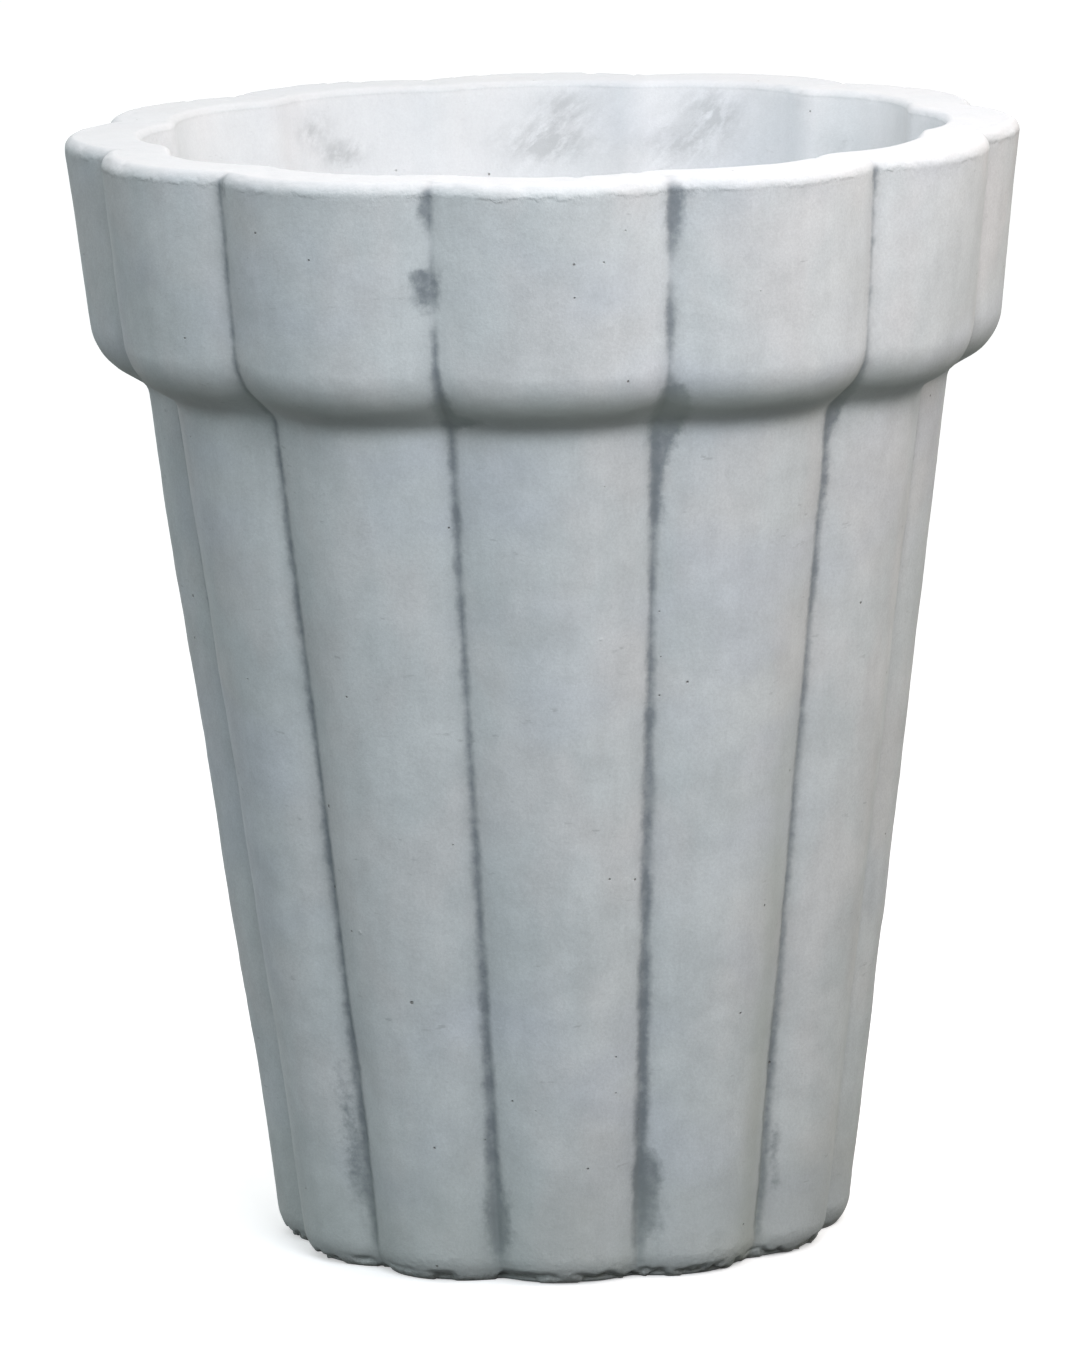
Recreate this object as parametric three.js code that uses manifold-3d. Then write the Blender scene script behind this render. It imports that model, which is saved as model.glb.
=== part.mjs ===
// Fluted cast-stone urn planter: a tapered pot of twelve rounded lobes with a deep overhanging collar,
// cast in one pour around a light steel cage and a plastic drain sleeve.
// Millimetres, +Z up. The origin is on the ground at the pot's axis, and one lobe faces -Y.

import * as THREE from 'three';
import { mergeVertices } from 'three/addons/utils/BufferGeometryUtils.js';
import Module from 'manifold-3d';

const wasm = await Module();
wasm.setup();

// ---------------------------------------------------------------- driving dimensions

const potHeight = 706;
const lobeCount = 12;

// Radii of the outside at the crest of a lobe, and how much deeper the valley between two lobes lies.
const baseCrestRadius = 179.5; // the body's line carried down to the ground
const baseFluteDepth = 15.8;
const springCrestRadius = 252.7; // the body where the collar springs from it
const springFluteDepth = 12.5;
const rimCrestRadius = 301.1; // the collar's line carried up to the rim's top
const rimFluteDepth = 17.5;

// The collar.
const springHeight = 549;
const collarOverhang = 29.5; // how far the collar's line stands off the body's at the spring height
const crestUndersideAngle = 30; // degrees above the horizontal
const valleyUndersideAngle = 40;
const coveRadius = 13; // where the underside leaves the body
const bullnoseRadius = 38; // where the underside turns up into the collar
const rimOuterRounding = 8;
const rimInnerRounding = 6;

// The foot.
const footInset = 8; // from the wall in to the line of contact with the ground
const footRise = 7.5; // the foot's straight slope, before it is rounded, meets the wall here
const footRounding = 28;

// The hollow.
const crestWall = 48;
const valleyWall = 44;
const floorThickness = 50;
const innerSpringHeight = 592; // where the hollow starts to widen into the collar
const innerCollarHeight = 632; // where it has widened
const innerCoveRadius = 22;
const innerShoulderRadius = 26;
const floorFilletRadius = 24;

// The drain.
const sleeveOuterRadius = 25;
const sleeveWall = 2.4;
const sleeveRecess = 2; // the sleeve's lower end stays clear of the ground

// The reinforcement.
const rodDiameter = 6;
const uprightCount = 6;
const footBarHeight = 22; // centre line of the bars in the floor
const uprightBendRadius = 24;
const crankBendRadius = 40;
const crankStartHeight = 555; // the uprights lean out into the collar from here
const crankEndHeight = 625;
const topCover = 20; // stone above the ends of the uprights
const rimHoopDepth = 33; // below the rim's top
const shoulderHoopHeight = 540;
const waistHoopHeight = 300;
const baseHoopHeight = 66;
const floorHoopRadius = 80;

const clearance = 0.3; // between two pieces that touch on the real pot

// How finely the round shapes are divided.
const stepsPerLobe = 8;
const bodyBands = 3;
const hoopSteps = 36; // a multiple of the uprights, so that a hoop's corner lies behind each bar
const rodSides = 6;
const sleeveSteps = 48;

// ---------------------------------------------------------------- finishes

function finish(color, roughness, metalness) {
  return new THREE.MeshStandardMaterial({ color, roughness, metalness });
}

const castStone = () => finish(0xb9bfc0, 0.9, 0);
const barSteel = () => finish(0x6f6a64, 0.6, 0.9);
const sleevePlastic = () => finish(0x4a4d50, 0.55, 0);

// ---------------------------------------------------------------- solids and meshes

function solidOf(geometry) {
  const bare = geometry.clone();
  bare.deleteAttribute('normal');
  bare.deleteAttribute('uv');
  const merged = mergeVertices(bare, 1e-4);
  const vertProperties = new Float32Array(merged.attributes.position.array);
  const triVerts = new Uint32Array(merged.index.array);
  return new wasm.Manifold(new wasm.Mesh({ numProp: 3, vertProperties, triVerts }));
}

function geometryOf(solid) {
  const { vertProperties, triVerts } = solid.getMesh();
  const geometry = new THREE.BufferGeometry();
  geometry.setAttribute('position', new THREE.BufferAttribute(new Float32Array(vertProperties), 3));
  geometry.setIndex(new THREE.BufferAttribute(new Uint32Array(triVerts), 1));
  geometry.computeVertexNormals();
  return geometry;
}

function named(name, geometry, material) {
  const mesh = new THREE.Mesh(geometry, material);
  mesh.name = name;
  return mesh;
}

// ---------------------------------------------------------------- outlines

const degrees = Math.PI / 180;

function mix(a, b, share) {
  return a + (b - a) * share;
}

// An outline through corners of [radius, height, rounding, steps]; a corner without rounding stays sharp.
function roundedOutline(corners) {
  const points = [];
  corners.forEach(([x, y, rounding, steps], index) => {
    const corner = new THREE.Vector2(x, y);
    if (!rounding) {
      points.push(corner);
      return;
    }
    const before = corners[index - 1];
    const after = corners[index + 1];
    const back = new THREE.Vector2(before[0], before[1]).sub(corner).normalize();
    const ahead = new THREE.Vector2(after[0], after[1]).sub(corner).normalize();
    const halfAngle = Math.acos(THREE.MathUtils.clamp(back.dot(ahead), -1, 1)) / 2;
    const tangentLength = rounding / Math.tan(halfAngle);
    const centre = back.clone().add(ahead).normalize();
    centre.multiplyScalar(rounding / Math.sin(halfAngle)).add(corner);
    const from = back.multiplyScalar(tangentLength).add(corner).sub(centre);
    const to = ahead.multiplyScalar(tangentLength).add(corner).sub(centre);
    const turn = Math.atan2(from.cross(to), from.dot(to));
    for (let step = 0; step <= steps; step += 1) {
      const angle = (turn * step) / steps;
      points.push(from.clone().rotateAround(new THREE.Vector2(), angle).add(centre));
    }
  });
  return points;
}

// ---------------------------------------------------------------- the pot's two meridians

const crest = {
  base: baseCrestRadius,
  spring: springCrestRadius,
  rim: rimCrestRadius,
  underside: crestUndersideAngle * degrees,
  wall: crestWall,
};

const valley = {
  base: baseCrestRadius - baseFluteDepth,
  spring: springCrestRadius - springFluteDepth,
  rim: rimCrestRadius - rimFluteDepth,
  underside: valleyUndersideAngle * degrees,
  wall: valleyWall,
};

function bodyRadius(line, z) {
  return mix(line.base, line.spring, z / springHeight);
}

function collarRadius(line, z) {
  const foot = line.spring + collarOverhang;
  return mix(foot, line.rim, (z - springHeight) / (potHeight - springHeight));
}

// The corner where the underside's line, rising from the spring, meets the collar's line.
function collarCorner(line) {
  const rise = Math.tan(line.underside);
  const draft = (line.rim - line.spring - collarOverhang) / (potHeight - springHeight);
  const reach = collarOverhang / (1 - draft * rise);
  return [line.spring + reach, springHeight + reach * rise];
}

// Straight stretches between two heights are divided, so that the lobes stay round along them.
function dividedStretch(radiusAt, from, to, bands) {
  const inner = [];
  for (let band = 1; band < bands; band += 1) {
    const z = mix(from, to, band / bands);
    inner.push([radiusAt(z), z]);
  }
  return inner;
}

const drainRadius = sleeveOuterRadius + clearance;
const footTop = footRise + footRounding;
const coveStart = springHeight - coveRadius;
const floorFilletTop = floorThickness + floorFilletRadius;

// From the drain's lower edge out under the base, up the outside, over the rim, down the hollow and back.
function meridian(line) {
  const inner = (z) => bodyRadius(line, z) - line.wall;
  return roundedOutline([
    [drainRadius, 0],
    [bodyRadius(line, footRise) - footInset, 0],
    [bodyRadius(line, footRise), footRise, footRounding, 4],
    ...dividedStretch((z) => bodyRadius(line, z), footTop, coveStart, bodyBands),
    [line.spring, springHeight, coveRadius, 3],
    [...collarCorner(line), bullnoseRadius, 5],
    [line.rim, potHeight, rimOuterRounding, 4],
    [line.rim - line.wall, potHeight, rimInnerRounding, 3],
    [collarRadius(line, innerCollarHeight) - line.wall, innerCollarHeight, innerShoulderRadius, 2],
    [inner(innerSpringHeight), innerSpringHeight, innerCoveRadius, 2],
    ...dividedStretch(inner, innerSpringHeight - innerCoveRadius, floorFilletTop, bodyBands - 1),
    [inner(floorThickness), floorThickness, floorFilletRadius, 3],
    [drainRadius, floorThickness],
  ]);
}

// ---------------------------------------------------------------- the fluted wall

const lobeHalfAngle = Math.PI / lobeCount;

// A lobe's plan is one arc from valley to valley over the crest. Equal radii give a plain circle.
function lobeRadius(crestRadius, valleyRadius, offset) {
  const halfChord = valleyRadius * Math.sin(lobeHalfAngle);
  const rise = crestRadius - valleyRadius * Math.cos(lobeHalfAngle);
  const arcRadius = (halfChord ** 2 + rise ** 2) / (2 * rise);
  const centre = crestRadius - arcRadius;
  return centre * Math.cos(offset) + Math.sqrt(arcRadius ** 2 - (centre * Math.sin(offset)) ** 2);
}

// A point of the wall between the crest's meridian and the valley's. Its height keeps to the crest's
// over most of the lobe and drops or climbs to the valley's near the edge.
function flutedPoint(crestPoint, valleyPoint, azimuth) {
  const pitch = 2 * lobeHalfAngle;
  const offset = azimuth - Math.round(azimuth / pitch) * pitch;
  const radius = lobeRadius(crestPoint.x, valleyPoint.x, offset);
  const crestShare = 1 - Math.abs(offset / lobeHalfAngle) ** 3;
  const height = mix(valleyPoint.y, crestPoint.y, crestShare);
  return [radius * Math.cos(azimuth), radius * Math.sin(azimuth), height];
}

function flutedGeometry() {
  const crestLine = meridian(crest);
  const valleyLine = meridian(valley);
  const rings = crestLine.length;
  const columns = lobeCount * stepsPerLobe;
  const positions = [];
  const triangles = [];
  for (let ring = 0; ring < rings; ring += 1) {
    for (let column = 0; column < columns; column += 1) {
      const azimuth = (2 * Math.PI * column) / columns;
      positions.push(...flutedPoint(crestLine[ring], valleyLine[ring], azimuth));
      const nextRing = ((ring + 1) % rings) * columns;
      const nextColumn = (column + 1) % columns;
      const here = ring * columns + column;
      const beside = ring * columns + nextColumn;
      triangles.push(here, beside, nextRing + nextColumn);
      triangles.push(here, nextRing + nextColumn, nextRing + column);
    }
  }
  const geometry = new THREE.BufferGeometry();
  geometry.setAttribute('position', new THREE.Float32BufferAttribute(positions, 3));
  geometry.setIndex(triangles);
  return geometry;
}

// ---------------------------------------------------------------- the steel cage

// Hoops lie midway between the valleys outside and the hollow of the lobes inside.
// The wall's line is either bodyRadius or collarRadius.
function hoopRadius(wallLine, z) {
  return (wallLine(valley, z) + wallLine(crest, z) - crestWall) / 2;
}

// The uprights stand against the outside of the hoops, behind the crests of every other lobe.
function uprightRadius(wallLine, z) {
  return hoopRadius(wallLine, z) + rodDiameter + clearance;
}

// A path whose steps land on its own points, however far apart they lie.
class RodPath extends THREE.Curve {
  constructor(points) {
    super();
    this.points = points;
  }

  getPoint(t, target = new THREE.Vector3()) {
    const place = t * (this.points.length - 1);
    const index = Math.min(Math.floor(place), this.points.length - 2);
    return target.lerpVectors(this.points[index], this.points[index + 1], place - index);
  }

  getUtoTmapping(u) {
    return u;
  }
}

// The room that a rod of this thickness takes up; its faces clear the rod on every side.
function channelRadius() {
  return (rodDiameter / 2 + clearance) / Math.cos(Math.PI / rodSides);
}

function rodAlong(points, radius) {
  const section = new THREE.Shape();
  for (let side = 0; side < rodSides; side += 1) {
    const angle = (2 * Math.PI * side) / rodSides;
    const corner = [radius * Math.cos(angle), radius * Math.sin(angle)];
    if (side === 0) section.moveTo(...corner);
    else section.lineTo(...corner);
  }
  const extrudePath = new RodPath(points);
  return new THREE.ExtrudeGeometry(section, { steps: points.length - 1, extrudePath });
}

function uprightPath(footEnd, topEnd) {
  const outline = roundedOutline([
    [footEnd, footBarHeight],
    [uprightRadius(bodyRadius, footBarHeight), footBarHeight, uprightBendRadius, 5],
    [uprightRadius(bodyRadius, crankStartHeight), crankStartHeight, crankBendRadius, 2],
    [uprightRadius(collarRadius, crankEndHeight), crankEndHeight, crankBendRadius, 2],
    [uprightRadius(collarRadius, topEnd), topEnd],
  ]);
  return outline.map((point) => new THREE.Vector3(point.x, 0, point.y));
}

function turned(geometry, azimuth) {
  return geometry.clone().rotateZ(azimuth);
}

const uprightTop = potHeight - topCover;
const uprightRod = rodAlong(uprightPath(drainRadius, uprightTop), rodDiameter / 2);
// The channel runs on into the drain's bore, and past the rod's upper end.
const uprightChannel = rodAlong(
  uprightPath(drainRadius - clearance, uprightTop + clearance),
  channelRadius(),
);

const uprightAzimuths = Array.from({ length: uprightCount }, (_, k) => (2 * Math.PI * k) / uprightCount);

function wallHoop(name, wallLine, z) {
  return { name, z, radius: hoopRadius(wallLine, z) };
}

const hoops = [
  wallHoop('rim_hoop', collarRadius, potHeight - rimHoopDepth),
  wallHoop('shoulder_hoop', bodyRadius, shoulderHoopHeight),
  wallHoop('waist_hoop', bodyRadius, waistHoopHeight),
  wallHoop('base_hoop', bodyRadius, baseHoopHeight),
  { name: 'floor_hoop', z: footBarHeight + rodDiameter + clearance, radius: floorHoopRadius },
];

function hoopGeometry(hoop, rodRadius) {
  return new THREE.TorusGeometry(hoop.radius, rodRadius, rodSides, hoopSteps).translate(0, 0, hoop.z);
}

function cageChannels() {
  let channels = solidOf(hoopGeometry(hoops[0], channelRadius()));
  for (const hoop of hoops.slice(1)) {
    channels = channels.add(solidOf(hoopGeometry(hoop, channelRadius())));
  }
  for (const azimuth of uprightAzimuths) {
    channels = channels.add(solidOf(turned(uprightChannel, azimuth)));
  }
  return channels;
}

function cage() {
  const group = new THREE.Group();
  for (const hoop of hoops) {
    group.add(named(hoop.name, hoopGeometry(hoop, rodDiameter / 2), barSteel()));
  }
  uprightAzimuths.forEach((azimuth, index) => {
    const bar = named(`upright_bar_${index + 1}`, uprightRod.clone(), barSteel());
    bar.rotation.z = azimuth;
    group.add(bar);
  });
  return group;
}

// ---------------------------------------------------------------- the stone and the drain

function planterBody() {
  const stone = solidOf(flutedGeometry()).subtract(cageChannels());
  return named('planter_body', geometryOf(stone), castStone());
}

function drainSleeve() {
  const inner = sleeveOuterRadius - sleeveWall;
  const outline = [
    [inner, sleeveRecess],
    [sleeveOuterRadius, sleeveRecess],
    [sleeveOuterRadius, floorThickness],
    [inner, floorThickness],
    [inner, sleeveRecess],
  ];
  const points = outline.map(([radius, z]) => new THREE.Vector2(radius, z));
  // A lathe turns about Y, so the sleeve is stood up onto Z.
  const geometry = new THREE.LatheGeometry(points, sleeveSteps).rotateX(Math.PI / 2);
  return named('drain_sleeve', geometry, sleevePlastic());
}

const planter = new THREE.Group();
planter.add(planterBody());
planter.add(drainSleeve());
planter.add(cage());

export default planter;
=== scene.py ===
"""Looks of the fluted cast-stone urn planter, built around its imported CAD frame. Metres, +Z up."""

import math

import bpy
import numpy as np
from mathutils import Matrix, Vector


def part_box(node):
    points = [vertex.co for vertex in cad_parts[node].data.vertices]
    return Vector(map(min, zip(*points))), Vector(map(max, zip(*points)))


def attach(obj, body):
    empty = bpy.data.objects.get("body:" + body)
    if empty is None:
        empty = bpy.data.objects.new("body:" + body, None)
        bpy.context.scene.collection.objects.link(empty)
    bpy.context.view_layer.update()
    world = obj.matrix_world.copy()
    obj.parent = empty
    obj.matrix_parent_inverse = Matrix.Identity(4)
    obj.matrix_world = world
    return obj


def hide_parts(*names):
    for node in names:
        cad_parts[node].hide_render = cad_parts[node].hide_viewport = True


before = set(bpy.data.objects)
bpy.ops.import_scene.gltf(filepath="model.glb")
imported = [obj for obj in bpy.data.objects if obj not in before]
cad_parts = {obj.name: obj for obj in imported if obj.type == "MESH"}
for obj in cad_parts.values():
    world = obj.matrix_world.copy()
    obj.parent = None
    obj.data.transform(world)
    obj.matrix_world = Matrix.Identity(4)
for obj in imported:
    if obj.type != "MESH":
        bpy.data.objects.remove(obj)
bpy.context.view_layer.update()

MM = 0.001

# ---------------------------------------------------------------- the pot's sizes, as in the CAD

POT_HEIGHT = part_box("planter_body")[1].z
LOBES = 12
LOBE_HALF = math.pi / LOBES

CREST = {"base": 179.5 * MM, "spring": 252.7 * MM, "rim": 301.1 * MM, "wall": 48 * MM, "underside": 30}
VALLEY = {"base": 163.7 * MM, "spring": 240.2 * MM, "rim": 283.6 * MM, "wall": 44 * MM, "underside": 40}

SPRING_HEIGHT = 549 * MM
COLLAR_OVERHANG = 29.5 * MM
COVE_RADIUS = 13 * MM
BULLNOSE_RADIUS = 38 * MM
RIM_OUTER_ROUNDING = 8 * MM
RIM_INNER_ROUNDING = 6 * MM
FOOT_INSET = 8 * MM
FOOT_RISE = 7.5 * MM
FOOT_ROUNDING = 28 * MM
FLOOR_THICKNESS = 50 * MM
INNER_SPRING_HEIGHT = 592 * MM
INNER_COLLAR_HEIGHT = 632 * MM
INNER_COVE_RADIUS = 22 * MM
INNER_SHOULDER_RADIUS = 26 * MM
FLOOR_FILLET_RADIUS = 24 * MM
SLEEVE_RADIUS = 25 * MM
SLEEVE_WALL = 2.4 * MM
CLEARANCE = 0.3 * MM

# ---------------------------------------------------------------- the photograph's camera

PHOTO_WIDTH = 1080
FOCAL_PIXELS = 11101
SENSOR_WIDTH_MM = 36
CAMERA_DISTANCE = 6.930
CAMERA_HEIGHT = 1.5386
CAMERA_SIDE = -0.0142
CAMERA_PITCH = -9.683  # degrees; below the horizon
CAMERA_YAW = -0.046
CAMERA_ROLL = -1.152
POT_TURN = 0.57  # degrees; the pot's own turn in the photograph, given to the camera instead


def add_camera():
    data = bpy.data.cameras.new("camera")
    data.sensor_fit = "HORIZONTAL"
    data.sensor_width = SENSOR_WIDTH_MM
    data.lens = SENSOR_WIDTH_MM * FOCAL_PIXELS / PHOTO_WIDTH
    data.clip_end = 60
    camera = bpy.data.objects.new("camera", data)
    place = Matrix.Translation((CAMERA_SIDE, -CAMERA_DISTANCE, CAMERA_HEIGHT))
    yaw = Matrix.Rotation(math.radians(CAMERA_YAW), 4, "Z")
    pitch = Matrix.Rotation(math.radians(90 + CAMERA_PITCH), 4, "X")
    roll = Matrix.Rotation(math.radians(CAMERA_ROLL), 4, "Z")
    around_pot = Matrix.Rotation(math.radians(-POT_TURN), 4, "Z")
    camera.matrix_world = around_pot @ place @ yaw @ pitch @ roll
    bpy.context.scene.collection.objects.link(camera)
    bpy.context.scene.camera = camera


add_camera()
bpy.context.scene.view_settings.view_transform = "Standard"

# ---------------------------------------------------------------- noise on points


class LatticeNoise:
    """Smooth noise from a seeded, repeating lattice of random values; it runs from -1 to 1."""

    SIZE = 64

    def __init__(self, seed):
        self.values = np.random.default_rng(seed).uniform(-1, 1, (self.SIZE,) * 3)

    def at(self, points, cell):
        """The noise at points (..., 3), where cell is the lattice's spacing, one for all axes or one each."""
        scaled = points / np.asarray(cell)
        low = np.floor(scaled).astype(int)
        blend = scaled - low
        blend = blend * blend * (3 - 2 * blend)
        total = np.zeros(points.shape[:-1])
        for corner in np.ndindex(2, 2, 2):
            index = (low + corner) % self.SIZE
            weight = np.prod(np.where(corner, blend, 1 - blend), axis=-1)
            total += weight * self.values[index[..., 0], index[..., 1], index[..., 2]]
        return total


def layered_noise(points, cell, seed, layers=3):
    """Noise in ever finer layers, each half as strong as the one before."""
    total = np.zeros(points.shape[:-1])
    for layer in range(layers):
        total += 0.5**layer * LatticeNoise(seed + layer).at(points, np.asarray(cell) / 2**layer)
    return total


def smooth_step(low, high, value):
    share = np.clip((value - low) / (high - low), 0, 1)
    return share * share * (3 - 2 * share)


def mix(a, b, share):
    return a + (b - a) * share


# ---------------------------------------------------------------- the stone's two meridians


def body_radius(line, z):
    return mix(line["base"], line["spring"], z / SPRING_HEIGHT)


def collar_radius(line, z):
    spring = line["spring"] + COLLAR_OVERHANG
    return mix(spring, line["rim"], (z - SPRING_HEIGHT) / (POT_HEIGHT - SPRING_HEIGHT))


def collar_corner(line):
    """Where the underside's line, rising from the spring, meets the collar's line."""
    rise = math.tan(math.radians(line["underside"]))
    draft = (line["rim"] - line["spring"] - COLLAR_OVERHANG) / (POT_HEIGHT - SPRING_HEIGHT)
    reach = COLLAR_OVERHANG / (1 - draft * rise)
    return line["spring"] + reach, SPRING_HEIGHT + reach * rise


DRAIN_RADIUS = SLEEVE_RADIUS + CLEARANCE

# Each corner of the meridian: where it is on a line, its rounding, and the spacing of the points
# on the way to it and round it.
FINE = 1.3 * MM
MEDIUM = 3 * MM
COARSE = 6 * MM
MERIDIAN = [
    (lambda line: (DRAIN_RADIUS, 0), 0, COARSE),
    (lambda line: (body_radius(line, FOOT_RISE) - FOOT_INSET, 0), 0, MEDIUM),
    (lambda line: (body_radius(line, FOOT_RISE), FOOT_RISE), FOOT_ROUNDING, FINE),
    (lambda line: (line["spring"], SPRING_HEIGHT), COVE_RADIUS, MEDIUM),
    (collar_corner, BULLNOSE_RADIUS, FINE),
    (lambda line: (line["rim"], POT_HEIGHT), RIM_OUTER_ROUNDING, FINE),
    (lambda line: (line["rim"] - line["wall"], POT_HEIGHT), RIM_INNER_ROUNDING, FINE),
    (
        lambda line: (collar_radius(line, INNER_COLLAR_HEIGHT) - line["wall"], INNER_COLLAR_HEIGHT),
        INNER_SHOULDER_RADIUS,
        MEDIUM,
    ),
    (
        lambda line: (body_radius(line, INNER_SPRING_HEIGHT) - line["wall"], INNER_SPRING_HEIGHT),
        INNER_COVE_RADIUS,
        MEDIUM,
    ),
    (
        lambda line: (body_radius(line, FLOOR_THICKNESS) - line["wall"], FLOOR_THICKNESS),
        FLOOR_FILLET_RADIUS,
        COARSE,
    ),
    (lambda line: (DRAIN_RADIUS, FLOOR_THICKNESS), 0, COARSE),
]


def unit(vector):
    return vector / np.linalg.norm(vector)


def rounded_corner(before, corner, after, radius):
    """The rounding's centre, the way from it to where it starts, and the angle it turns through."""
    back = unit(before - corner)
    ahead = unit(after - corner)
    half_angle = math.acos(back @ ahead) / 2
    tangent = radius / math.tan(half_angle)
    centre = corner + unit(back + ahead) * radius / math.sin(half_angle)
    start = corner + back * tangent - centre
    end = corner + ahead * tangent - centre
    turn = math.atan2(start[0] * end[1] - start[1] * end[0], start @ end)
    return centre, start, turn


def turned(vector, angle):
    cosine, sine = math.cos(angle), math.sin(angle)
    return np.array([cosine * vector[0] - sine * vector[1], sine * vector[0] + cosine * vector[1]])


def meridian(line, counts=None):
    """Points (radius, height) round the stone's section, and how many steps each stretch and rounding took.

    A second line follows the first one's counts, so that the two can be lofted.
    """
    corners = [np.array(place(line)) for place, _, _ in MERIDIAN]
    points = []
    taken = []
    leave = corners[0]
    for index in range(1, len(corners)):
        rounding, spacing = MERIDIAN[index][1:]
        arrive = corners[index]
        if rounding:
            centre, start, turn = rounded_corner(*corners[index - 1 : index + 2], rounding)
            arrive = centre + start
        if counts:
            straight_steps, arc_steps = counts[index - 1]
        else:
            straight_steps = max(1, round(np.linalg.norm(arrive - leave) / max(spacing, MEDIUM)))
            arc_steps = round(abs(turn) * rounding / spacing) if rounding else 0
        taken.append((straight_steps, arc_steps))
        points += [mix(leave, arrive, step / straight_steps) for step in range(straight_steps)]
        points += [centre + turned(start, turn * step / arc_steps) for step in range(arc_steps)]
        leave = centre + turned(start, turn) if rounding else arrive
    points.append(leave)
    return np.array(points), taken


# ---------------------------------------------------------------- the fluted surface

COLUMNS_PER_LOBE = 46
CROWDING = 0.55  # how far the columns are drawn towards the valleys
CREASE_SLOPE = 0.42  # how steeply a lobe leaves its valley, which the rounding takes out
CREASE_ROUNDING = 6 * MM  # how far from a valley its rounding starts
SOFT_CREASE_ROUNDING = 10 * MM  # the same, inside and at the foot


def lobe_radius(crest, valley, offset):
    """A lobe's plan is one arc from valley to valley over the crest."""
    half_chord = valley * math.sin(LOBE_HALF)
    rise = crest - valley * math.cos(LOBE_HALF)
    arc = (half_chord**2 + rise**2) / (2 * rise)
    centre = crest - arc
    return centre * np.cos(offset) + np.sqrt(arc**2 - (centre * np.sin(offset)) ** 2)


def above_foot(z):
    """Nothing at the foot, one once the valleys are fully cut."""
    return smooth_step(8 * MM, 32 * MM, z)


def column_azimuths():
    share = np.linspace(-1, 1, COLUMNS_PER_LOBE, endpoint=False)
    offsets = LOBE_HALF * mix(share, np.sin(share * math.pi / 2), CROWDING)
    crests = np.arange(LOBES) * 2 * LOBE_HALF
    return (crests[:, None] + offsets).ravel()


def grid_normals(grid):
    """The outward normals of a (rows, columns, 3) grid that closes both ways."""
    along = np.roll(grid, -1, axis=0) - np.roll(grid, 1, axis=0)
    around = np.roll(grid, -1, axis=1) - np.roll(grid, 1, axis=1)
    normals = np.cross(around, along)
    return normals / np.linalg.norm(normals, axis=2, keepdims=True)


crest_line, step_counts = meridian(CREST)
valley_line, _ = meridian(VALLEY, step_counts)
azimuth = column_azimuths()
offset = azimuth - np.round(azimuth / (2 * LOBE_HALF)) * 2 * LOBE_HALF
radius = lobe_radius(crest_line[:, :1], valley_line[:, :1], offset)
crest_share = 1 - np.abs(offset / LOBE_HALF) ** 3
height = mix(valley_line[:, 1:], crest_line[:, 1:], crest_share)
valley_distance = (LOBE_HALF - np.abs(offset)) * radius  # round the surface to the nearest valley

# Rows in the order of the meridian: foot, outside, rim, hollow, floor.
stretch_ends = np.cumsum([sum(steps) for steps in step_counts])
FOOT_ROW, RIM_ROW, INNER_RIM_ROW, FLOOR_ROW = stretch_ends[[0, 4, 5, 8]]
row = np.arange(len(crest_line))[:, None] * np.ones_like(azimuth)
outside = 1.0 * ((row >= FOOT_ROW) & (row <= RIM_ROW))
inside = 1.0 * (row >= INNER_RIM_ROW)

# The valleys are rounded, and so are the ridges that they make inside.
in_hollow = (row > RIM_ROW) & (row <= FLOOR_ROW)
crease_rounding = mix(SOFT_CREASE_ROUNDING, CREASE_ROUNDING, above_foot(height) * ~in_hollow)
filling = np.clip(crease_rounding - valley_distance, 0, None) ** 2 / (2 * crease_rounding)
radius = radius + ((row > 0) & (row <= FLOOR_ROW)) * CREASE_SLOPE * filling

smooth_grid = np.stack([radius * np.cos(azimuth), radius * np.sin(azimuth), height], axis=2)
normals = grid_normals(smooth_grid)

# ---------------------------------------------------------------- the hand-finished relief

# The surface's wander, in layers: how deep, how broad, and the seed.
WANDERS = [
    (0.9 * MM, 110 * MM, 11),
    (0.35 * MM, 34 * MM, 21),
    (0.12 * MM, 7 * MM, 31),
]
GROOVE_DEPTH = 0.6 * MM
GROOVE_HALF_WIDTH = 2.4 * MM
CHIP_HEIGHT = 9 * MM
CHIP_DEPTH = 3.2 * MM
RIM_CHIP_DEPTH = 0.8 * MM


def band(value, middle, half_width):
    """One at the middle, fading to nothing over a few half widths."""
    return np.exp(-(((value - middle) / half_width) ** 2))


def chips(points, cell, seed, start):
    """Scattered bites out of an edge: nothing over most of it, up to 1 where the noise is highest."""
    return smooth_step(start, start + 0.45, layered_noise(points, cell, seed, 3))


def relief(points):
    """How far each point stands in from the smooth surface."""
    wander = sum(depth * layered_noise(points, breadth, seed, 2) for depth, breadth, seed in WANDERS)
    z = points[..., 2]
    groove = outside * GROOVE_DEPTH * band(valley_distance, 0, GROOVE_HALF_WIDTH)
    groove *= 1 + 0.35 * layered_noise(points, 45 * MM, 41, 2)
    groove *= above_foot(z)
    foot_share = 1 - smooth_step(CHIP_HEIGHT * 0.3, CHIP_HEIGHT, z)
    foot = CHIP_DEPTH * foot_share * outside * chips(points, 13 * MM, 61, -0.1)
    rim_share = band(POT_HEIGHT - z, 0, 5 * MM)
    rim = RIM_CHIP_DEPTH * rim_share * chips(points, 9 * MM, 71, 0.3)
    return wander + groove + foot + rim


def within_cad_box(points):
    low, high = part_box("planter_body")
    return np.clip(points, np.array(low), np.array(high))


stone_grid = within_cad_box(smooth_grid - normals * relief(smooth_grid)[..., None])

# ---------------------------------------------------------------- where the stone is stained

FRONT = -90  # the front crest's azimuth
RIM_TOP_MM = POT_HEIGHT / MM
SPRING_MM = SPRING_HEIGHT / MM
FLOOR_TOP_MM = FLOOR_THICKNESS / MM

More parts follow.
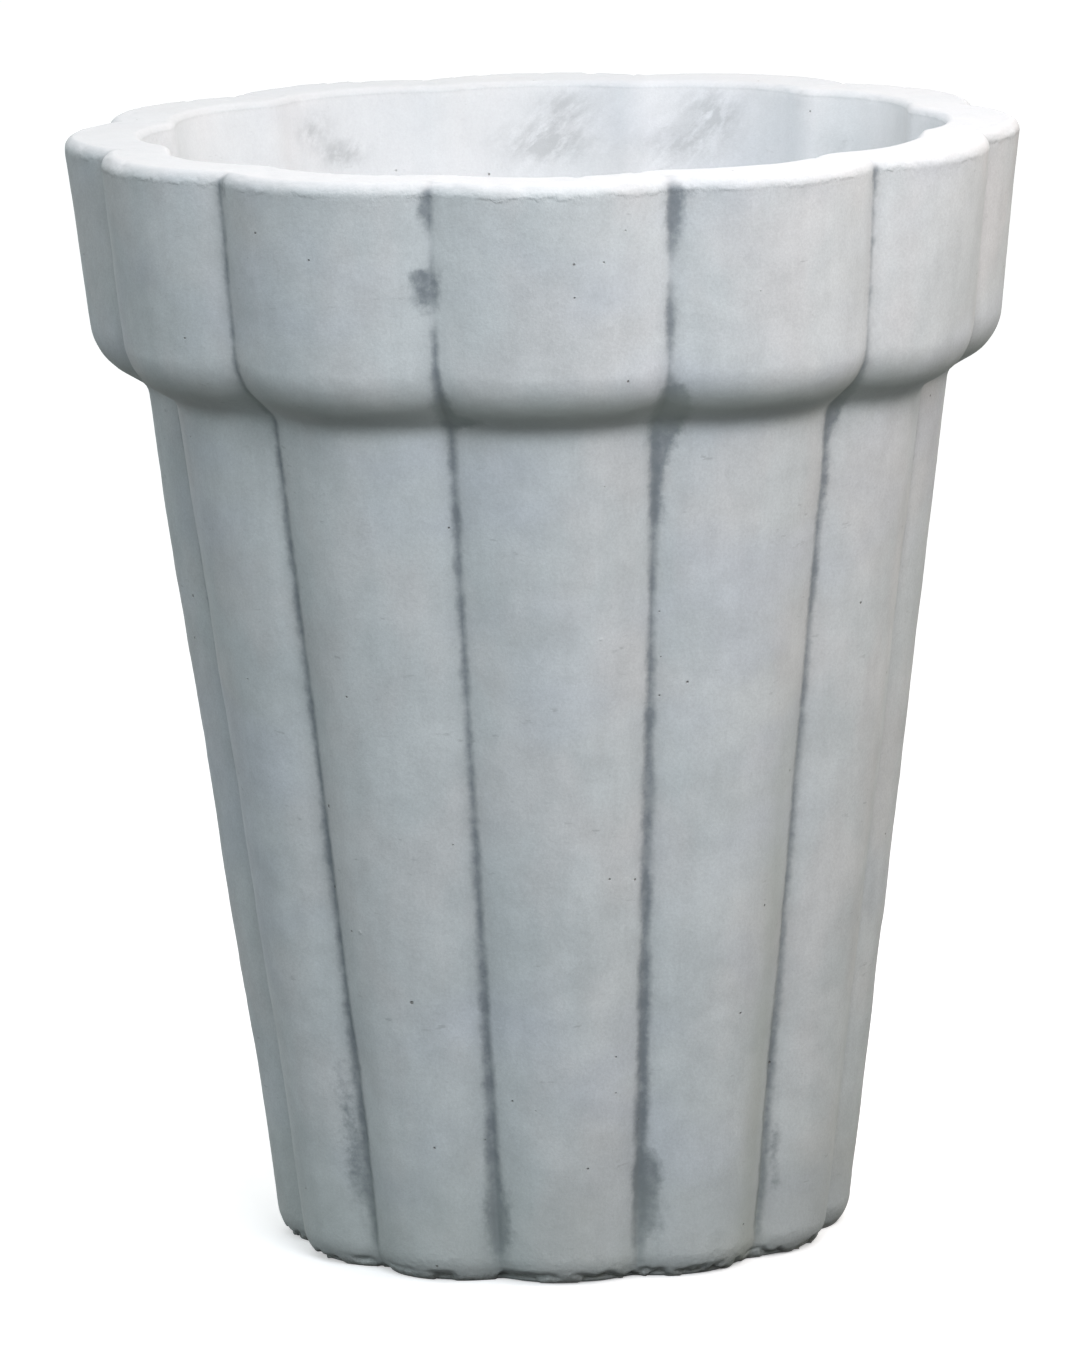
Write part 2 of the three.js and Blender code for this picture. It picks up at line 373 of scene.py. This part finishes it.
# Stations are degrees to the right of the front crest. Marks are in millimetres: how far to the right of
# the valley, the height, half the width, half the height, and then how dark.
COLLAR_MARKS = {
    -45: [(3, 702, 4, 12, 0.9), (2, 583, 3, 14, 0.6)],
    -15: [
        (-2, 692, 5, 14, 1.1),
        (-6, 638, 7, 12, 1.15),
        (-8, 649, 6, 3.5, 1.0),
        (3, 641, 4, 12, 0.6),
        (0, 588, 3, 20, 0.8),
        (1, 561, 7, 14, 1.5),
        (13, 556, 11, 4, 1.3),
    ],
    15: [
        (2, 686, 5, 20, 1.5),
        (1, 620, 4, 18, 0.8),
        (6, 554, 9, 15, 1.9),
        (3, 568, 8, 10, 1.3),
        (4, 556, 20, 18, 0.3),
        (3, 530, 6, 14, 1.1),
        (0, 508, 3, 18, 0.8),
        (11, 697, 6, 4, 0.5),
    ],
    45: [(0, 696, 3, 10, 0.95), (3, 549, 6, 14, 1.7), (1, 566, 4, 8, 0.9)],
    75: [(0, 690, 3, 16, 0.6), (2, 566, 6, 12, 0.8)],
    -75: [(0, 694, 3, 12, 0.6), (1, 568, 5, 10, 0.7)],
}
BODY_MARKS = {
    -75: [(3, 70, 4, 30, 0.35)],
    # The two marks left of this valley low down are painted shade on its shaded side.
    -45: [(-8, 100, 8, 40, 0.65), (-7, 58, 8, 24, 0.7), (1, 505, 3, 25, 0.5)],
    -15: [(2, 40, 9, 26, 1.35), (1, 88, 4, 12, 0.6), (0, 512, 3, 28, 0.5), (-1, 395, 3, 14, 0.4)],
    15: [(4, 66, 8, 17, 1.8), (6, 38, 9, 15, 0.95), (2, 130, 4, 30, 0.6), (4, 500, 4, 16, 0.55)],
    45: [
        (7, 75, 4, 16, 0.7),
        (9, 52, 4, 9, 0.65),
        (2, 500, 4, 22, 0.9),
        (1, 440, 3, 16, 0.8),
        (1, 370, 3, 22, 0.7),
        (1, 270, 3, 20, 0.6),
    ],
    75: [(2, 60, 5, 22, 0.55), (1, 505, 3, 20, 0.5)],
}
# Half the width of the dark line along each valley in the photograph, on the collar and on the body.
LINE_HALF_WIDTHS = {
    -75: (1.2, 2.0),
    -45: (1.5, 2.6),
    -15: (1.2, 2.6),
    15: (1.6, 3.3),
    45: (0.5, 2.8),
    75: (1.0, 1.8),
}
# Where a line is nearly rubbed out: its station, the height and half the height.
LINE_GAPS = [(-15, 668, 9), (-15, 622, 8), (15, 648, 13)]
# A strip of painted shade down the body: its station, how far to the right of the valley, and half its width.
SHADE_STRIP = (45, -17, 13)
LINE_END = (2, 24)  # the heights between which the dark lines give out at the foot
BACK_STATIONS = (105, 135, 165, 195, 225, 255)


def invented_marks(rng):
    """Marks for a valley that the photograph doesn't show, of the same kinds as on those it does."""
    marks = [(rng.uniform(-2, 2), 692, rng.uniform(3, 5), rng.uniform(9, 20), rng.uniform(0.6, 1))]
    marks += [(rng.uniform(0, 5), 565, rng.uniform(5, 8), rng.uniform(9, 15), rng.uniform(0.7, 1.1))]
    marks += [(rng.uniform(-5, 5), rng.uniform(595, 660), 4, 10, rng.uniform(0.4, 0.8))]
    marks += [(rng.uniform(-5, 6), rng.uniform(45, 80), 6, rng.uniform(15, 30), rng.uniform(0.5, 1))]
    marks += [(rng.uniform(-3, 3), rng.uniform(100, 500), 3, 25, rng.uniform(0.3, 0.6)) for _ in range(2)]
    return marks


def degrees_from(station):
    """How far round from a station each column is."""
    return (np.degrees(azimuth) - FRONT - station + 180) % 360 - 180


def millimetres_from(station):
    return np.radians(degrees_from(station)) * radius / MM


def valley_stains(z_mm):
    """How strongly each point is stained by the marks, some of them painted shade, and half the width of its
    valley's dark line.
    """
    rng = np.random.default_rng(5)
    stain_and_shade = np.zeros_like(radius)
    line = np.zeros_like(radius)
    on_collar = smooth_step(SPRING_MM + 20, SPRING_MM + 45, z_mm)
    for station in (*LINE_HALF_WIDTHS, *BACK_STATIONS):
        if station in LINE_HALF_WIDTHS:
            marks = COLLAR_MARKS[station] + BODY_MARKS[station]
            half_widths = LINE_HALF_WIDTHS[station]
        else:
            marks = invented_marks(rng)
            half_widths = rng.uniform(0.5, 1.5), rng.uniform(1.5, 3)
        across = millimetres_from(station)
        for right, mark_height, half_across, half_up, strength in marks:
            stain_and_shade += strength * band(across, right, half_across) * band(z_mm, mark_height, half_up)
        own_columns = np.abs(degrees_from(station)) < np.degrees(LOBE_HALF) + 0.01
        line += own_columns * mix(half_widths[1], half_widths[0], on_collar)
    return outside * stain_and_shade, line


def line_profile(points, line):
    """The dark line is wider lower down, and widens and narrows on its way."""
    share = 0.75 + 0.4 * smooth_step(350 * MM, 100 * MM, points[..., 2])
    share += 0.35 * layered_noise(points, 28 * MM, 81, 3)
    return line * share


def line_strength(z_mm):
    """How much of the dark line is left: it gives out at the foot and in the gaps."""
    left = outside * smooth_step(*LINE_END, z_mm)
    for station, gap_height, half_up in LINE_GAPS:
        left *= 1 - 0.8 * band(degrees_from(station), 0, 10) * band(z_mm, gap_height, half_up)
    return left


def painted_shade(z_mm):
    """Painted shade: the dark band under the collar, darker right of the front, and the strip of shade down
    the body.
    """
    station, right, half_across = SHADE_STRIP
    strip = band(millimetres_from(station), right, half_across) * smooth_step(470, 200, z_mm)
    under_collar = band(z_mm, SPRING_MM + 12, 13) * (1 + 0.5 * band(degrees_from(20), 0, 35))
    return outside * (under_collar + 0.8 * strip)


# Smudges inside the collar: degrees from the back, counted to the left as the photograph sees it, then
# the height, half the width, half the height, and how dark.
INSIDE_SMUDGES = [
    (36, 681, 15, 10, 1.1),
    (31, 665, 17, 8, 1.5),
    (-4, 686, 18, 13, 1.1),
    (-1, 664, 24, 11, 1.4),
    (-27, 684, 18, 15, 1.3),
    (-22, 664, 22, 9, 0.9),
    (-24, 668, 45, 28, 0.35),
    (-2, 668, 40, 24, 0.3),
    (-52, 670, 18, 12, 0.5),
    (75, 660, 30, 20, 0.7),
    (120, 640, 35, 25, 0.8),
    (165, 665, 28, 20, 0.7),
    (-95, 650, 30, 24, 0.8),
    (-140, 668, 26, 16, 0.6),
]


def inside_smudges(z_mm):
    total = np.zeros_like(radius)
    for turn, smudge_height, half_across, half_up, strength in INSIDE_SMUDGES:
        across = millimetres_from(180 + turn)
        total += strength * band(across, 0, half_across) * band(z_mm, smudge_height, half_up)
    return inside * total


# ---------------------------------------------------------------- meshes


def add_mesh(name, vertices, faces, material):
    mesh = bpy.data.meshes.new(name)
    mesh.from_pydata(vertices, [], faces)
    mesh.materials.append(material)
    mesh.shade_smooth()
    piece = bpy.data.objects.new(name, mesh)
    bpy.context.scene.collection.objects.link(piece)
    return piece


def add_grid(name, grid, material):
    """A closed surface through a (rows, columns, 3) grid whose last row and column join the first."""
    rows, columns = grid.shape[:2]
    here = np.arange(rows * columns).reshape(rows, columns)
    beside = np.roll(here, -1, axis=1)
    above = np.roll(here, -1, axis=0)
    across = np.roll(beside, -1, axis=0)
    faces = np.stack([here, beside, across, above], axis=2).reshape(-1, 4)
    return add_mesh(name, grid.reshape(-1, 3).tolist(), faces.tolist(), material)


def add_attribute(piece, name, values):
    attribute = piece.data.attributes.new(name, "FLOAT", "POINT")
    attribute.data.foreach_set("value", np.ravel(values).astype(np.float32))


def stand_for(piece, node):
    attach(piece, "root")
    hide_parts(node)


# ---------------------------------------------------------------- node materials


class Nodes:
    """Nodes being added to a material's or the world's tree."""

    def __init__(self, tree):
        self.tree = tree

    def add(self, kind, inputs=None, **settings):
        node = self.tree.nodes.new(kind)
        for name, value in settings.items():
            setattr(node, name, value)
        for name, value in (inputs or {}).items():
            self.set(node.inputs[name], value)
        return node

    def set(self, socket, value):
        if isinstance(value, bpy.types.NodeSocket):
            self.tree.links.new(value, socket)
        else:
            socket.default_value = value

    def math(self, operation, a, b=0.0, c=0.0, clamp=False):
        return self.add("ShaderNodeMath", {0: a, 1: b, 2: c}, operation=operation, use_clamp=clamp).outputs[0]

    def step(self, value, low, high, to=(0.0, 1.0)):
        """A smooth step, from to[0] below low to to[1] above high."""
        inputs = {"Value": value, "From Min": low, "From Max": high, "To Min": to[0], "To Max": to[1]}
        return self.add("ShaderNodeMapRange", inputs, interpolation_type="SMOOTHSTEP").outputs[0]

    def mix(self, share, a, b, blend="MIX"):
        node = self.add("ShaderNodeMix", data_type="RGBA", blend_type=blend)
        self.set(node.inputs["Factor"], share)
        for socket, colour in ((node.inputs[6], a), (node.inputs[7], b)):
            self.set(socket, colour if isinstance(colour, bpy.types.NodeSocket) else (*colour, 1))
        return node.outputs[2]

    def red(self, colour):
        return self.add("ShaderNodeSeparateColor", {"Color": colour}).outputs[0]

    def grey(self, value):
        return self.add("ShaderNodeCombineColor", {"Red": value, "Green": value, "Blue": value}).outputs[0]

    def seen(self):
        """One for rays that show a surface to the camera, straight, in a gloss or through glass."""
        path = self.add("ShaderNodeLightPath").outputs
        seen = self.math("MAXIMUM", path["Is Camera Ray"], path["Is Glossy Ray"])
        return self.math("MAXIMUM", seen, path["Is Transmission Ray"])


class Shading(Nodes):
    """A node material being put together."""

    def __init__(self, name):
        self.material = bpy.data.materials.new(name)
        self.material.use_nodes = True
        super().__init__(self.material.node_tree)
        self.shader = self.tree.nodes["Principled BSDF"]
        self.place = self.add("ShaderNodeTexCoord").outputs["Object"]

    def attribute(self, name):
        return self.add("ShaderNodeAttribute", attribute_name=name).outputs["Fac"]

    def stretched(self, *scales):
        """The place with each axis scaled, for a pattern drawn out along an axis."""
        scaled = self.add("ShaderNodeVectorMath", {0: self.place, 1: scales}, operation="MULTIPLY")
        return scaled.outputs[0]

    def noise(self, size, detail=3.0, roughness=0.5, vector=None):
        """Noise from 0 to 1 whose features are about this size."""
        inputs = {
            "Vector": vector or self.place,
            "Scale": 1 / size,
            "Detail": detail,
            "Roughness": roughness,
        }
        return self.add("ShaderNodeTexNoise", inputs).outputs[0]

    def around_zero(self, noise, reach):
        """Noise moved to run from -reach to reach."""
        return self.math("MULTIPLY", self.math("SUBTRACT", noise, 0.5), 2 * reach)

    def spots(self, spacing, size, share, shift=0.0):
        """One at a scattering of small round spots of this radius, nothing elsewhere."""
        place = self.add("ShaderNodeVectorMath", {0: self.place, 1: (shift,) * 3}).outputs[0]
        cells = self.add("ShaderNodeTexVoronoi", {"Vector": place, "Scale": 1 / spacing})
        picked = self.math("GREATER_THAN", self.red(cells.outputs["Color"]), 1 - share)
        hole = self.step(cells.outputs["Distance"], 0.5 * size / spacing, 1.2 * size / spacing, (1.0, 0.0))
        return self.math("MULTIPLY", hole, picked)

    def bump(self, height, distance, strength, under=None):
        inputs = {"Height": height, "Distance": distance, "Strength": strength}
        if under:
            inputs["Normal"] = under
        return self.add("ShaderNodeBump", inputs).outputs[0]


PALE_STONE = (0.63, 0.662, 0.668)
GREY_STONE = (0.575, 0.612, 0.62)
WARM_STONE = (0.645, 0.645, 0.645)
BLUE_STONE = (0.58, 0.615, 0.66)
WASH_GREY = (0.2, 0.225, 0.245)
# Also the grey of the painted shade beside the valleys.
SMUDGE_AND_SHADE_GREY = (0.33, 0.35, 0.355)
# Also the colour of the painted shade under the collar and down the body.
DAMP_AND_SHADE_GREY = (0.4, 0.44, 0.4)
# Painted shade for the rim's top.
RIM_SHADED_STONE = (0.568, 0.58, 0.584)
INSIDE_STONE = (0.68, 0.69, 0.7)
# Dirt, and also painted shade at the foot's lower edge and in the pinholes.
GROUND_DIRT_AND_SHADE = (0.17, 0.165, 0.15)
SOIL_BROWN = (0.2, 0.165, 0.13)

# In the functions below, s is the shading being put together.


def stone_tone(s):
    """Clouds, blotches, faint runs down the wall and grain, all in the stone's own greys."""
    clouds = s.step(s.noise(90 * MM, 3, 0.55), 0.3, 0.7)
    colour = s.mix(clouds, GREY_STONE, PALE_STONE)
    tint = s.step(s.noise(70 * MM, 2, 0.5, s.stretched(1.3, 1.3, 0.8)), 0.42, 0.66, (0.0, 0.55))
    colour = s.mix(tint, colour, WARM_STONE)
    cool = s.step(s.noise(120 * MM, 2, 0.5, s.stretched(0.9, 0.9, 1.4)), 0.48, 0.7, (0.0, 0.6))
    colour = s.mix(cool, colour, BLUE_STONE)
    blotches = s.step(s.noise(22 * MM, 4, 0.6), 0.3, 0.72, (0.955, 1.035))
    runs = s.step(s.noise(14 * MM, 3, 0.6, s.stretched(1, 1, 0.12)), 0.3, 0.7, (0.975, 1.02))
    grain = s.step(s.noise(1.7 * MM, 3, 0.75), 0.25, 0.75, (0.925, 1.06))
    for layer in (blotches, runs, grain):
        colour = s.mix(1.0, colour, s.grey(layer), "MULTIPLY")
    # A few short strokes of old wash, lying level.
    strokes = s.step(s.noise(8 * MM, 3, 0.6, s.stretched(0.55, 0.55, 1.9)), 0.64, 0.74, (0.0, 0.42))
    few = s.step(s.noise(55 * MM, 2), 0.5, 0.6)
    return s.mix(s.math("MULTIPLY", strokes, few), colour, SMUDGE_AND_SHADE_GREY)


def add_valley_lines(s, colour):
    """The dark line in the valleys, and the soft grey beside it, which is partly wash and partly painted
    shade in the crease.
    """
    fine_wobble = s.around_zero(s.noise(2.6 * MM, 4, 0.6), 1.1)
    ragged = s.math("ADD", fine_wobble, s.around_zero(s.noise(9 * MM, 2), 2.2))
    distance = s.math("ADD", s.attribute("valley_mm"), ragged)
    beyond_line = s.math("SUBTRACT", distance, s.attribute("line_mm"))
    uneven = s.step(s.noise(20 * MM, 4, 0.7), 0.34, 0.62, (0.6, 0.94))
    line = s.math("MULTIPLY", s.step(beyond_line, -2.6, 2.9, (1.0, 0.0)), uneven)
    # The soft grey beside the valley: partly wash, partly painted shade in the crease.
    beside = s.step(distance, 0.0, 11.0, (0.24, 0.0))
    line_share = s.attribute("line_share")
    colour = s.mix(s.math("MULTIPLY", beside, line_share), colour, SMUDGE_AND_SHADE_GREY)
    return s.mix(s.math("MULTIPLY", line, line_share), colour, WASH_GREY)


def add_blotches(s, colour):
    """Blotches where the wash was left to run, soft and mottled, and a few marks of painted shade."""
    torn = s.math("ADD", s.around_zero(s.noise(6 * MM, 5, 0.68), 0.75), s.attribute("stain_and_shade"))
    patchy = s.step(s.noise(10 * MM, 5, 0.7), 0.3, 0.65, (0.72, 1.0))
    blotch = s.math("MULTIPLY", s.step(torn, 0.12, 1.15, (0.0, 0.92)), patchy)
    return s.mix(blotch, colour, WASH_GREY)


def add_smudges(s, colour):
    """Brushed smudges inside the collar, and painted shade under it and in a strip down the body."""
    slanted = s.add("ShaderNodeVectorRotate", {"Vector": s.place, "Angle": 0.7}, rotation_type="Y_AXIS")
    drawn_out = s.add("ShaderNodeVectorMath", {0: slanted.outputs[0], 1: (0.4, 1, 1)}, operation="MULTIPLY")
    brushed = s.step(s.noise(8 * MM, 6, 0.7, drawn_out.outputs[0]), 0.28, 0.68)
    smudge = s.math("MULTIPLY", brushed, s.attribute("smudge"), clamp=True)
    colour = s.mix(s.math("MULTIPLY", smudge, 0.55), colour, SMUDGE_AND_SHADE_GREY)
    # Painted shade under the collar and in a strip down the body, in the damp grey.
    return s.mix(s.math("MULTIPLY", s.attribute("painted_shade"), 0.5), colour, DAMP_AND_SHADE_GREY)


def add_damp_and_dirt(s, colour):
    """Damp towards the foot, dirt on its lower edge that is also painted contact shade, and soil left on the
    floor inside.
    """
    above_ground = s.attribute("height_mm")
    damp_height = s.math("ADD", above_ground, s.around_zero(s.noise(26 * MM, 4, 0.6), 28))
    damp = s.math("MULTIPLY", s.step(damp_height, 10.0, 120.0, (0.3, 0.0)), s.attribute("outside"))
    colour = s.mix(damp, colour, DAMP_AND_SHADE_GREY)
    dirt_height = s.math("ADD", above_ground, s.around_zero(s.noise(6 * MM, 4, 0.7), 6))
    # Dirt on the foot's lower edge, which is also painted contact shade where it meets the ground.
    dirt_and_shade = s.math("MULTIPLY", s.step(dirt_height, 0.0, 5.5, (0.7, 0.0)), s.attribute("outside"))
    colour = s.mix(dirt_and_shade, colour, GROUND_DIRT_AND_SHADE)
    soil_height = s.math("ADD", above_ground, s.around_zero(s.noise(40 * MM, 4, 0.6), 40))
    soil_fades = s.step(soil_height, FLOOR_TOP_MM - 2, FLOOR_TOP_MM + 60, (0.55, 0.0))
    soil = s.math("MULTIPLY", soil_fades, s.attribute("inside"))
    return s.mix(soil, colour, SOIL_BROWN)


def skin_edge(s):
    """The uneven edge of the smooth skin just below the rim, here and there."""
    wavy = s.math("ADD", s.attribute("height_mm"), s.around_zero(s.noise(9 * MM, 5, 0.68), 5.5))
    here_and_there = s.step(s.noise(31 * MM, 3), 0.36, 0.6)
    share = s.math("MULTIPLY", s.attribute("outside"), here_and_there)
    return s.math("MULTIPLY", s.step(wavy, RIM_TOP_MM - 10, RIM_TOP_MM - 7), share)


def stone_bumps(s, holes):
    """Grain, a sanded unevenness, crumbs near the rim and the foot, the skin's edge, nibs and pinholes."""
    normal = s.bump(s.noise(1.1 * MM, 3, 0.7), 0.35 * MM, 0.35)
    normal = s.bump(s.noise(6 * MM, 3, 0.55), 0.5 * MM, 0.45, normal)
    crumbs = s.math("MULTIPLY", s.noise(3.2 * MM, 4, 0.6), s.attribute("crumble"))
    normal = s.bump(crumbs, 1.0 * MM, 0.5, normal)
    normal = s.bump(skin_edge(s), 0.6 * MM, 0.65, normal)
    nibs = s.math("MULTIPLY", s.spots(55 * MM, 1.8 * MM, 0.3, 7.0), s.noise(2 * MM))
    normal = s.bump(nibs, 1.2 * MM, 0.6, normal)
    return s.bump(s.math("SUBTRACT", 1.0, holes), 1.2 * MM, 0.8, normal)


def cast_stone():
    s = Shading("cast_stone")
    colour = s.mix(s.math("MULTIPLY", s.attribute("inside"), 0.5), stone_tone(s), INSIDE_STONE)
    colour = add_valley_lines(s, colour)
    colour = add_blotches(s, colour)
    colour = add_smudges(s, colour)
    colour = add_damp_and_dirt(s, colour)
    # The rim's top is the most even, and darker: painted shade that holds down the strong light on it from
    # above.
    on_rim = s.step(s.attribute("height_mm"), RIM_TOP_MM - 8, RIM_TOP_MM - 1, (0.0, 0.7))
    colour = s.mix(on_rim, colour, RIM_SHADED_STONE)
    # Pinholes left by air in the mould, dark with dirt and with painted shade in the holes.
    holes = s.math("MAXIMUM", s.spots(16 * MM, 0.8 * MM, 0.2), s.spots(45 * MM, 1.2 * MM, 0.2))
    colour = s.mix(s.math("MULTIPLY", holes, 0.72), colour, GROUND_DIRT_AND_SHADE)
    s.set(s.shader.inputs["Base Color"], colour)
    s.set(s.shader.inputs["Roughness"], s.step(s.noise(8 * MM, 3, 0.6), 0.3, 0.7, (0.82, 0.95)))
    s.shader.inputs["Specular IOR Level"].default_value = 0.28
    s.set(s.shader.inputs["Normal"], stone_bumps(s, holes))
    return s.material


def pipe_plastic():
    s = Shading("pipe_plastic")
    scuffs = s.step(s.noise(5 * MM, 4, 0.7, s.stretched(1, 1, 0.3)), 0.35, 0.7)
    colour = s.mix(scuffs, (0.2, 0.21, 0.22), (0.27, 0.28, 0.285))
    soil = s.step(s.noise(7 * MM, 4, 0.65), 0.5, 0.7, (0.0, 0.7))
    s.set(s.shader.inputs["Base Color"], s.mix(soil, colour, SOIL_BROWN))
    s.set(s.shader.inputs["Roughness"], s.step(scuffs, 0.0, 1.0, (0.45, 0.65)))
    s.set(s.shader.inputs["Normal"], s.bump(s.noise(1.5 * MM, 3, 0.6), 0.2 * MM, 0.4))
    return s.material


def bar_steel():
    s = Shading("bar_steel")
    rust = s.step(s.noise(9 * MM, 4, 0.7), 0.42, 0.66)
    s.set(s.shader.inputs["Base Color"], s.mix(rust, (0.34, 0.32, 0.3), (0.24, 0.13, 0.07)))
    s.set(s.shader.inputs["Metallic"], s.step(rust, 0.2, 0.8, (1.0, 0.1)))
    s.set(s.shader.inputs["Roughness"], s.step(rust, 0.0, 1.0, (0.42, 0.88)))
    s.set(s.shader.inputs["Normal"], s.bump(s.noise(1.2 * MM, 3, 0.7), 0.3 * MM, 0.6))
    return s.material


# ---------------------------------------------------------------- the pieces


def add_stone():
    piece = add_grid("stone_pot", stone_grid, cast_stone())
    z = smooth_grid[..., 2]
    z_mm = z / MM
    stain_and_shade, line = valley_stains(z_mm)
    near_rim = band(POT_HEIGHT - z, 6 * MM, 5 * MM) * mix(1, 0.35, inside)
    near_foot = outside * smooth_step(40 * MM, 5 * MM, z)
    add_attribute(piece, "valley_mm", valley_distance / MM)
    add_attribute(piece, "line_mm", line_profile(smooth_grid, line))
    add_attribute(piece, "line_share", line_strength(z_mm))
    add_attribute(piece, "stain_and_shade", stain_and_shade)
    add_attribute(piece, "smudge", inside_smudges(z_mm))
    # Painted shade under the collar and in a strip down the body.
    add_attribute(piece, "painted_shade", painted_shade(z_mm))
    add_attribute(piece, "height_mm", z_mm)
    add_attribute(piece, "outside", outside)
    add_attribute(piece, "inside", inside)
    add_attribute(piece, "crumble", np.maximum(near_rim, near_foot))
    stand_for(piece, "planter_body")


SLEEVE_LIP = 0.7 * MM
SLEEVE_COLUMNS = 96


def add_sleeve():
    """The drain's pipe, with its sawn ends slightly rounded."""
    bottom, top = (corner.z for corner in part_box("drain_sleeve"))
    inner = SLEEVE_RADIUS - SLEEVE_WALL
    corners = [(inner, bottom), (SLEEVE_RADIUS, bottom), (SLEEVE_RADIUS, top), (inner, top)]
    outline = []
    for index, corner in enumerate(corners):
        before = np.array(corners[index - 1])
        after = np.array(corners[(index + 1) % 4])
        centre, start, turn = rounded_corner(before, np.array(corner), after, SLEEVE_LIP)
        outline += [centre + turned(start, turn * share) for share in np.linspace(0, 1, 5)]
    outline = np.array(outline)
    angle = np.linspace(0, 2 * math.pi, SLEEVE_COLUMNS, endpoint=False)
    ring = np.stack([np.cos(angle), np.sin(angle)], axis=1)
    flat = outline[:, :1, None] * ring[None]
    grid = np.concatenate([flat, np.broadcast_to(outline[:, 1:, None], (*flat.shape[:2], 1))], axis=2)
    piece = add_grid("drain_pipe", grid, pipe_plastic())
    stand_for(piece, "drain_sleeve")


def dress_cage():
    """The cast-in hoops and uprights stay the CAD's own pieces."""
    steel = bar_steel()
    for name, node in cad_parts.items():
        if name.endswith("_hoop") or name.startswith("upright_bar"):
            node.data.materials.clear()
            node.data.materials.append(steel)


# ---------------------------------------------------------------- the studio

FLOOR_HALF = 16
FLOOR_SEEN = (0.86, 0.86, 0.86)
FLOOR_BOUNCE = (0.05, 0.05, 0.05)
FLOOR_LIFT = 0.4  # the white that the seen floor has of itself; its shadows come from the light it lacks
# Where the sky's broad glows are, and their colours: bluish from the front left, yellowish from the
# right, and plain from behind.
SKY_GLOWS = [
    ((-0.7, -0.7, 0.45), (0.96, 1.08, 1.12)),
    ((1, 0, 0.35), (0.52, 0.54, 0.44)),
    ((0, 1, 0.45), (1.48, 1.47, 1.46)),
]
# Each softbox: its place, what it points at, how wide it is, its watts and its colour.
SOFTBOXES = {
    "key": ((0.5, -1.9, 1.6), (0, 0, 0.5), 1.2, 26, (0.93, 0.94, 1)),
    "overhead": ((0.05, -0.2, 1.9), (0, 0, 0.5), 1.3, 9, (1, 0.91, 0.96)),
    "right_hand": ((0.95, -0.5, 1.25), (0.2, 0, 0.6), 0.6, 5.6, (1, 0.85, 0.83)),
}


def add_floor():
    """A pale floor that sends little light back up, as the ground in the photograph does."""
    s = Shading("floor")
    speckle = s.step(s.noise(12 * MM, 3), 0.2, 0.8, (0.985, 1.0))
    pale = s.mix(1.0, FLOOR_SEEN, s.grey(speckle), "MULTIPLY")
    s.set(s.shader.inputs["Base Color"], s.mix(s.seen(), FLOOR_BOUNCE, pale))
    s.set(s.shader.inputs["Emission Strength"], s.math("MULTIPLY", s.seen(), FLOOR_LIFT))
    s.shader.inputs["Emission Color"].default_value = (1, 1, 1, 1)
    s.shader.inputs["Roughness"].default_value = 0.9
    s.shader.inputs["Specular IOR Level"].default_value = 0.1
    half = FLOOR_HALF
    corners = [(-half, -half, 0), (half, -half, 0), (half, half, 0), (-half, half, 0)]
    add_mesh("floor", corners, [(0, 1, 2, 3)], s.material)


def add_sky():
    """A sky of broad glows, each strongest in its own direction; where it is seen itself it is white."""
    world = bpy.data.worlds.new("sky")
    world.use_nodes = True
    bpy.context.scene.world = world
    n = Nodes(world.node_tree)
    direction = n.add("ShaderNodeTexCoord").outputs["Generated"]
    light = (0, 0, 0)
    for towards, colour in SKY_GLOWS:
        inputs = {0: direction, 1: Vector(towards).normalized()}
        facing = n.add("ShaderNodeVectorMath", inputs, operation="DOT_PRODUCT").outputs["Value"]
        strength = n.math("POWER", n.math("MAXIMUM", facing, 0.0), 2.0)
        light = n.mix(1.0, light, n.mix(1.0, colour, n.grey(strength), "MULTIPLY"), "ADD")
    n.set(n.tree.nodes["Background"].inputs["Color"], n.mix(n.seen(), light, (1, 1, 1)))


def add_softbox(name, place, target, size, watts, colour):
    data = bpy.data.lights.new(name, "AREA")
    data.shape = "DISK"
    data.size = size
    data.energy = watts
    data.color = colour
    lamp = bpy.data.objects.new(name, data)
    lamp.location = place
    lamp.rotation_euler = (Vector(target) - Vector(place)).to_track_quat("-Z", "Y").to_euler()
    bpy.context.scene.collection.objects.link(lamp)


add_stone()
add_sleeve()
dress_cage()
add_floor()
add_sky()
for softbox_name, softbox in SOFTBOXES.items():
    add_softbox(softbox_name, *softbox)
